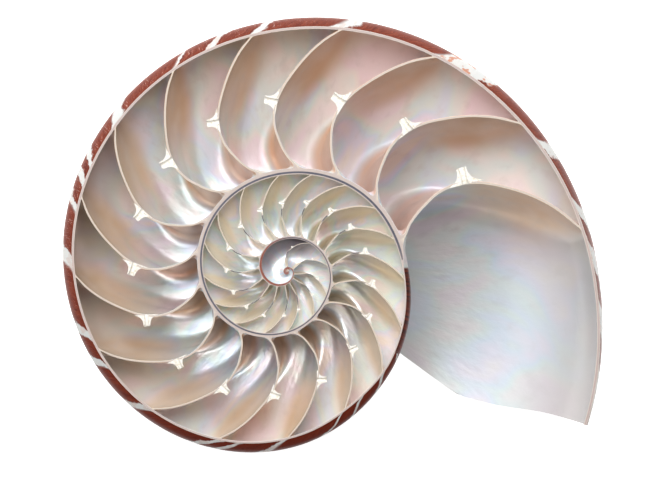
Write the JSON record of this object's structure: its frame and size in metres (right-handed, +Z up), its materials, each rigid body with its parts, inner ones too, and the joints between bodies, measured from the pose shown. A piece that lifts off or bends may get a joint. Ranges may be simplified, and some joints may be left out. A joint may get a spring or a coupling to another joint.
{
  "type": "nautilus shell half",
  "caption": "Half of a chambered nautilus shell, sawn beside its midplane and lying on its flank, with its spiral of curved chamber walls and open living chamber facing up.",
  "frame": {"origin": "on the surface the half rests on, under the middle of its bounding box", "axes": "+Z is up; the sawn face looks up and leans 10 degrees off level. +X points across the widest part of the coil towards the side with the mouth, and +Y across the coil towards its top in the picture"},
  "size_m": [0.1522, 0.1224, 0.048],
  "materials": {
    "nacre": "satin mother-of-pearl inside, with pastel pink, green and blue; glossy white outside with red-brown flame bands"
  },
  "bodies": {
    "root": {"shell_half": "nacre"}
  },
  "joints": []
}
